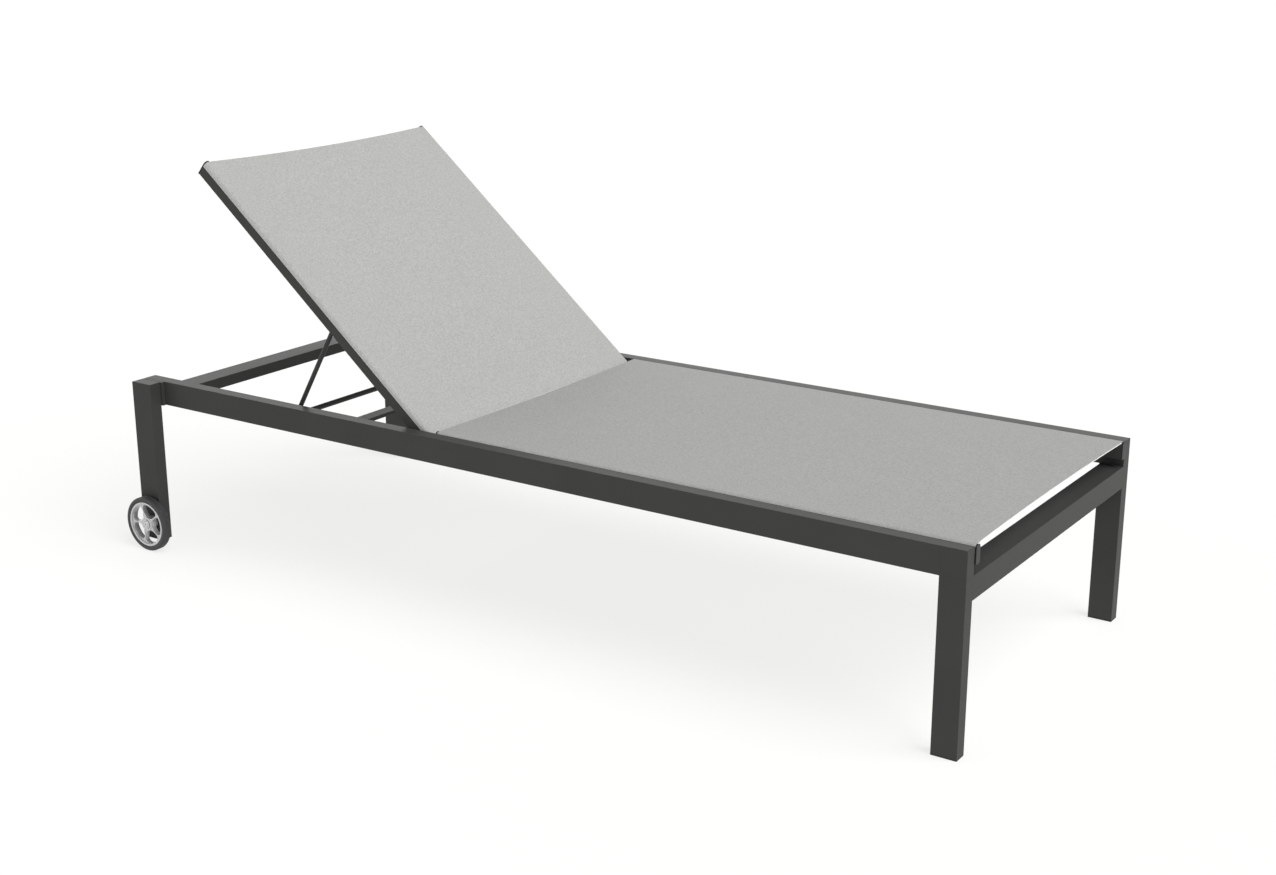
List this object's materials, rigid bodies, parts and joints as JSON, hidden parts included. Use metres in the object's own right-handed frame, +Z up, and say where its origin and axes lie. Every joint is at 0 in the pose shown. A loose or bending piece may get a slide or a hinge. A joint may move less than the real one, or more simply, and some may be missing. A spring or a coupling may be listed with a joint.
{
  "type": "sun lounger",
  "caption": "Reclining sun lounger: dark flat-tube frame, taut mesh sling seat and hinged sling backrest held by a prop, with wheels at the head end.",
  "frame": {"origin": "on the ground, under the middle of the footprint at rest", "axes": "+X towards the foot end, +Y to the left of a person lying on it, +Z up"},
  "size_m": [2.0316, 0.906, 0.8871],
  "materials": {
    "frame_coat": "charcoal powder coat, satin, on aluminium tube",
    "dark_plastic": "matt black moulded plastic",
    "sling_fabric": "light grey coated mesh weave",
    "tyre_rubber": "dark grey rubber",
    "rim_silver": "satin silver grey",
    "bright_steel": "bright stainless steel"
  },
  "bodies": {
    "frame": {"side_rail_right": "frame_coat", "side_rail_left": "frame_coat", "foot_leg_right": "frame_coat", "foot_leg_left": "frame_coat", "head_post_right": "frame_coat", "head_post_left": "frame_coat", "head_spacer_right": "frame_coat", "head_spacer_left": "frame_coat", "seat_rail_right": "frame_coat", "seat_rail_left": "frame_coat", "prop_rack_right": "frame_coat", "prop_rack_left": "frame_coat", "foot_cross_rail": "frame_coat", "head_cross_rail": "frame_coat", "middle_cross_bar": "frame_coat", "seat_spreader_1": "frame_coat", "seat_spreader_2": "frame_coat", "side_rail_plug_right": "dark_plastic", "side_rail_plug_left": "dark_plastic", "foot_glide_right": "dark_plastic", "foot_glide_left": "dark_plastic", "head_post_plug_right": "dark_plastic", "head_post_plug_left": "dark_plastic", "seat_rail_foot_cap_right": "dark_plastic", "seat_rail_foot_cap_left": "dark_plastic", "seat_rail_head_cap_right": "dark_plastic", "seat_rail_head_cap_left": "dark_plastic", "hinge_washer_right": "dark_plastic", "hinge_washer_left": "dark_plastic", "seat_keder_right": "dark_plastic", "seat_keder_left": "dark_plastic", "hinge_bolt_right": "bright_steel", "hinge_bolt_left": "bright_steel", "axle_bolt_right": "bright_steel", "axle_bolt_left": "bright_steel", "axle_nut_right": "bright_steel", "axle_nut_left": "bright_steel", "seat_sling": "sling_fabric"},
    "backrest": {"back_rail_right": "frame_coat", "back_rail_left": "frame_coat", "back_spreader_1": "frame_coat", "back_spreader_2": "frame_coat", "back_rail_top_cap_right": "dark_plastic", "back_rail_top_cap_left": "dark_plastic", "back_rail_hinge_cap_right": "dark_plastic", "back_rail_hinge_cap_left": "dark_plastic", "back_keder_right": "dark_plastic", "back_keder_left": "dark_plastic", "prop_bolt_right": "bright_steel", "prop_bolt_left": "bright_steel", "back_sling": "sling_fabric"},
    "prop": {"prop_arm_right": "frame_coat", "prop_arm_left": "frame_coat", "prop_bar": "frame_coat"},
    "wheel_right": {"tyre_right": "tyre_rubber", "rim_right": "rim_silver", "hub_cap_right": "rim_silver"},
    "wheel_left": {"tyre_left": "tyre_rubber", "rim_left": "rim_silver", "hub_cap_left": "rim_silver"}
  },
  "joints": [
    {"name": "recline", "type": "hinge", "parent": "frame", "child": "backrest", "pos_m": [-0.19685, 0, 0.3715], "axis": [0, 1, 0], "range_deg": [-36.8, 6]},
    {"name": "prop_swing", "type": "hinge", "parent": "backrest", "child": "prop", "pos_m": [-0.44428, 0, 0.57912], "axis": [0, 1, 0], "range_deg": [-15, 89]},
    {"name": "wheel_spin_right", "type": "hinge", "parent": "frame", "child": "wheel_right", "pos_m": [-0.95335, -0.4425, 0.0625], "axis": [0, 1, 0], "continuous": true},
    {"name": "wheel_spin_left", "type": "hinge", "parent": "frame", "child": "wheel_left", "pos_m": [-0.95335, 0.4425, 0.0625], "axis": [0, 1, 0], "continuous": true}
  ],
  "couplings": [
    {"joint": "prop_swing", "follows": "recline", "ratio": -2.414}
  ]
}
